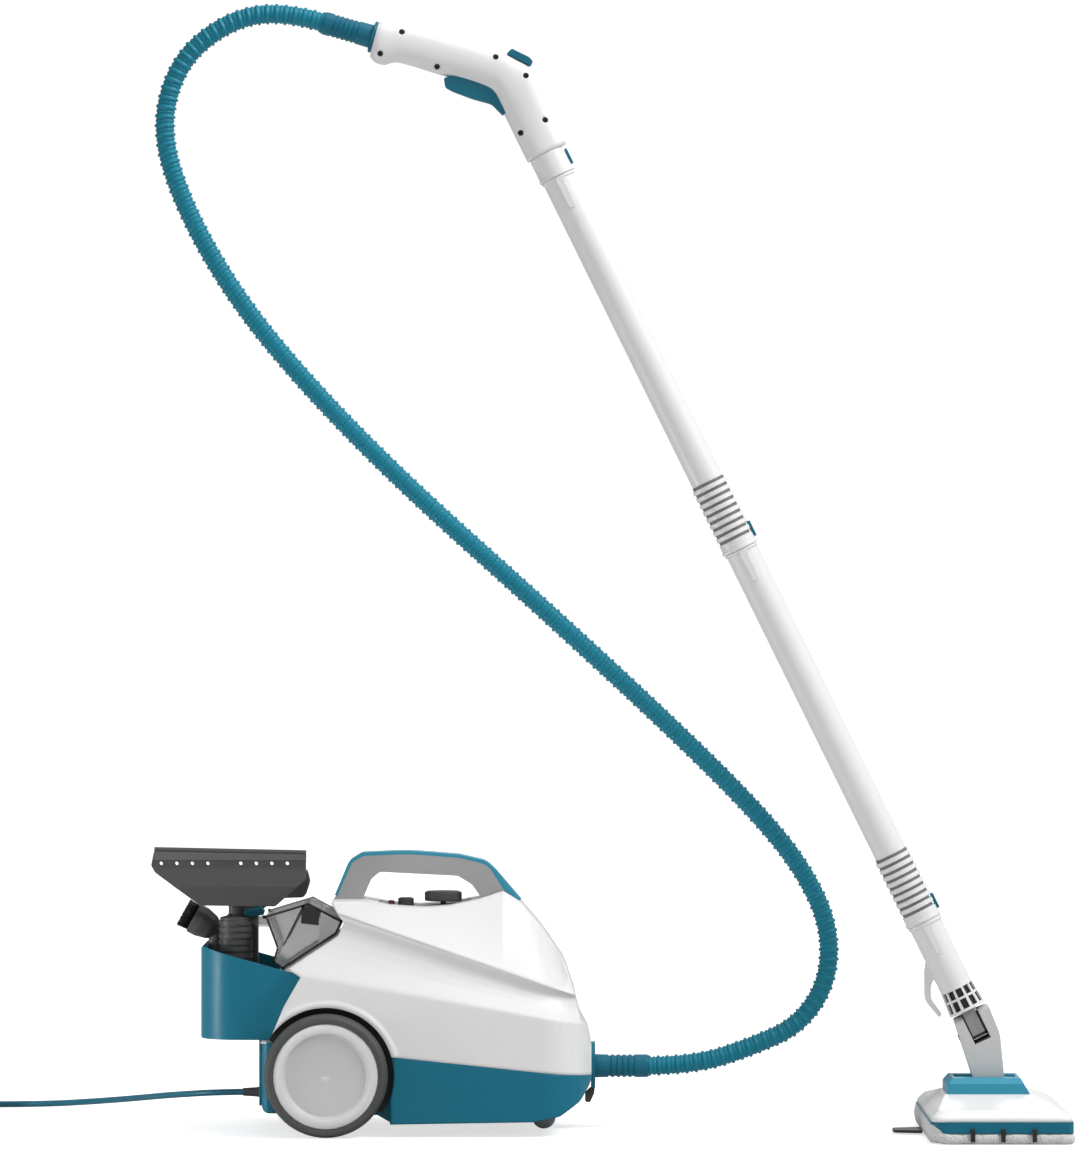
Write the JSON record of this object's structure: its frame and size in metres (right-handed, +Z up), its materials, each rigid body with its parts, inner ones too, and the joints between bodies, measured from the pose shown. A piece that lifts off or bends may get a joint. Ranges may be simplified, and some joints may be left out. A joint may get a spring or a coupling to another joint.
{
  "type": "canister steam mop",
  "caption": "Wheeled canister steam cleaner with a tool basket and water tank, joined by a corrugated hose to a pistol handle, two wand tubes and a hinged floor mop head.",
  "frame": {"origin": "bottom centre of the bounding box without the hose, cord and plug, on the floor", "axes": "+X from the canister to the mop head, +Y from the wand side to the far side of the canister, +Z up"},
  "size_m": [1.3142, 0.4864, 1.2329],
  "materials": {
    "white_plastic": "satin moulded plastic",
    "teal_plastic": "satin moulded plastic",
    "grey_plastic": "fine texture",
    "dark_plastic": "fine texture",
    "black_plastic": "satin",
    "smoked_clear": "clear smoked plastic",
    "red_lens": "translucent lens",
    "tyre_rubber": "matte",
    "wheel_grey": "satin",
    "blade_rubber": "soft lip",
    "bristle": "nylon tufts",
    "steel": "turned",
    "hose_teal": "corrugated",
    "cord_teal": "soft sheath",
    "microfibre": "looped microfibre",
    "board_green": "circuit board",
    "brass_valve": "machined"
  },
  "bodies": {
    "canister": {"upper_housing": "white_plastic", "lower_housing": "teal_plastic", "rear_panel": "grey_plastic", "carry_handle": "grey_plastic", "handle_trim": "teal_plastic", "control_panel": "grey_plastic", "indicator_lens": "red_lens", "water_tank": "smoked_clear", "accessory_basket": "teal_plastic", "rear_axle": "steel", "socket_flange": "teal_plastic", "hose_plug": "teal_plastic", "steam_hose": "hose_teal", "power_cord": "cord_teal", "cord_gland": "dark_plastic", "cord_coil": "cord_teal", "mains_plug": "dark_plastic", "boiler": "steel", "water_pump": "black_plastic", "steam_valve": "brass_valve", "control_board": "board_green", "handle_shell_front": "white_plastic", "handle_shell_far": "white_plastic", "handle_screws": "steel", "trigger_switch": "black_plastic", "handle_cuff": "teal_plastic", "handle_collar": "white_plastic"},
    "wheel_left_body": {"wheel_left": "wheel_grey", "tyre_left": "tyre_rubber"},
    "wheel_right_body": {"wheel_right": "wheel_grey", "tyre_right": "tyre_rubber"},
    "caster_fork_body": {"caster_fork": "grey_plastic"},
    "caster_wheel_body": {"caster_wheel": "grey_plastic"},
    "dial_body": {"steam_dial": "dark_plastic"},
    "power_button_body": {"power_button": "dark_plastic"},
    "lid_body": {"tank_lid": "teal_plastic"},
    "jet_nozzle_body": {"jet_nozzle": "dark_plastic"},
    "squeegee_tool_body": {"squeegee_body": "dark_plastic", "squeegee_lip": "blade_rubber"},
    "brush_tool_body": {"brush_body": "dark_plastic", "brush_bristles": "bristle"},
    "upholstery_tool_body": {"upholstery_tool": "dark_plastic"},
    "latch_body": {"socket_latch": "dark_plastic"},
    "trigger_body": {"trigger": "teal_plastic"},
    "slider_body": {"lock_slider": "teal_plastic"},
    "collar_button_body": {"collar_button": "teal_plastic"},
    "upper_tube_body": {"upper_tube": "white_plastic"},
    "upper_button_body": {"upper_button": "teal_plastic"},
    "lower_tube_body": {"lower_tube": "white_plastic"},
    "lower_button_body": {"lower_button": "teal_plastic"},
    "neck_body": {"mop_neck": "white_plastic"},
    "yoke_body": {"yoke": "white_plastic", "steer_pin": "steel"},
    "mop_head_body": {"mop_pad": "microfibre", "head_base": "teal_plastic", "head_cover": "white_plastic", "head_collar": "teal_plastic", "pitch_pin": "steel", "pad_clips": "black_plastic", "pull_tab": "black_plastic"}
  },
  "joints": [
    {"name": "wheel_left_spin", "type": "hinge", "parent": "canister", "child": "wheel_left_body", "pos_m": [-0.305, -0.08, 0.067], "axis": [0, 1, 0], "continuous": true},
    {"name": "wheel_right_spin", "type": "hinge", "parent": "canister", "child": "wheel_right_body", "pos_m": [-0.305, 0.153, 0.067], "axis": [0, 1, 0], "continuous": true},
    {"name": "caster_swivel", "type": "hinge", "parent": "canister", "child": "caster_fork_body", "pos_m": [-0.0774, 0.0365, 0.045], "axis": [0, 0, 1], "continuous": true},
    {"name": "caster_spin", "type": "hinge", "parent": "caster_fork_body", "child": "caster_wheel_body", "pos_m": [-0.0694, 0.0365, 0.013], "axis": [0, 1, 0], "continuous": true},
    {"name": "steam_dial_turn", "type": "hinge", "parent": "canister", "child": "dial_body", "pos_m": [-0.18, 0.0365, 0.25], "axis": [0, 0, 1], "range_deg": [-135, 135]},
    {"name": "power_button_press", "type": "slide", "parent": "canister", "child": "power_button_body", "axis": [0, 0, -1], "range_m": [0, 0.003], "stiffness_N_per_m": 400, "springref_m": -0.002},
    {"name": "tank_lid_open", "type": "hinge", "parent": "canister", "child": "lid_body", "pos_m": [-0.3745, 0.0365, 0.2382], "axis": [0, 1, 0], "range_deg": [0, 100]},
    {"name": "jet_nozzle_lift", "type": "slide", "parent": "canister", "child": "jet_nozzle_body", "axis": [0, 0, 1], "range_m": [0, 0.1]},
    {"name": "squeegee_lift", "type": "slide", "parent": "jet_nozzle_body", "child": "squeegee_tool_body", "axis": [0, 0, 1], "range_m": [0, 0.02]},
    {"name": "brush_lift", "type": "slide", "parent": "canister", "child": "brush_tool_body", "axis": [0, 0, 1], "range_m": [0, 0.1]},
    {"name": "upholstery_tool_lift", "type": "slide", "parent": "canister", "child": "upholstery_tool_body", "axis": [0, 0, 1], "range_m": [0, 0.1]},
    {"name": "socket_latch_press", "type": "hinge", "parent": "canister", "child": "latch_body", "pos_m": [-0.016, 0.0365, 0.0435], "axis": [0, 1, 0], "range_deg": [0, 12], "stiffness_Nm_per_rad": 0.1, "springref_deg": -5.73},
    {"name": "trigger_pull", "type": "hinge", "parent": "canister", "child": "trigger_body", "pos_m": [-0.112, -0.0265, 1.1155], "axis": [0, 1, 0], "range_deg": [0, 6.5], "stiffness_Nm_per_rad": 0.8, "springref_deg": -5.73},
    {"name": "lock_slide", "type": "slide", "parent": "canister", "child": "slider_body", "axis": [0.898, 0, -0.44], "range_m": [0, 0.006]},
    {"name": "collar_button_press", "type": "slide", "parent": "canister", "child": "collar_button_body", "axis": [-0.8973, 0, -0.4415], "range_m": [0, 0.0025], "stiffness_N_per_m": 300, "springref_m": -0.001},
    {"name": "upper_tube_pull", "type": "slide", "parent": "canister", "child": "upper_tube_body", "axis": [0.4415, 0, -0.8973], "range_m": [0, 0.03]},
    {"name": "upper_button_press", "type": "slide", "parent": "upper_tube_body", "child": "upper_button_body", "axis": [-0.8973, 0, -0.4415], "range_m": [0, 0.0025], "stiffness_N_per_m": 300, "springref_m": -0.001},
    {"name": "lower_tube_pull", "type": "slide", "parent": "upper_tube_body", "child": "lower_tube_body", "axis": [-0.4415, 0, 0.8973], "range_m": [-0.03, 0]},
    {"name": "lower_button_press", "type": "slide", "parent": "lower_tube_body", "child": "lower_button_body", "axis": [-0.8973, 0, -0.4415], "range_m": [0, 0.0025], "stiffness_N_per_m": 300, "springref_m": -0.001},
    {"name": "mop_head_pull", "type": "slide", "parent": "lower_tube_body", "child": "neck_body", "axis": [0.4415, 0, -0.8973], "range_m": [0, 0.03]},
    {"name": "mop_head_steer", "type": "hinge", "parent": "neck_body", "child": "yoke_body", "pos_m": [0.40256, -0.0265, 0.11374], "axis": [0.8973, 0, 0.4415], "range_deg": [-40, 40]},
    {"name": "mop_head_pitch", "type": "hinge", "parent": "yoke_body", "child": "mop_head_body", "pos_m": [0.415, -0.0265, 0.052], "axis": [0, 1, 0], "range_deg": [-20, 33]}
  ]
}
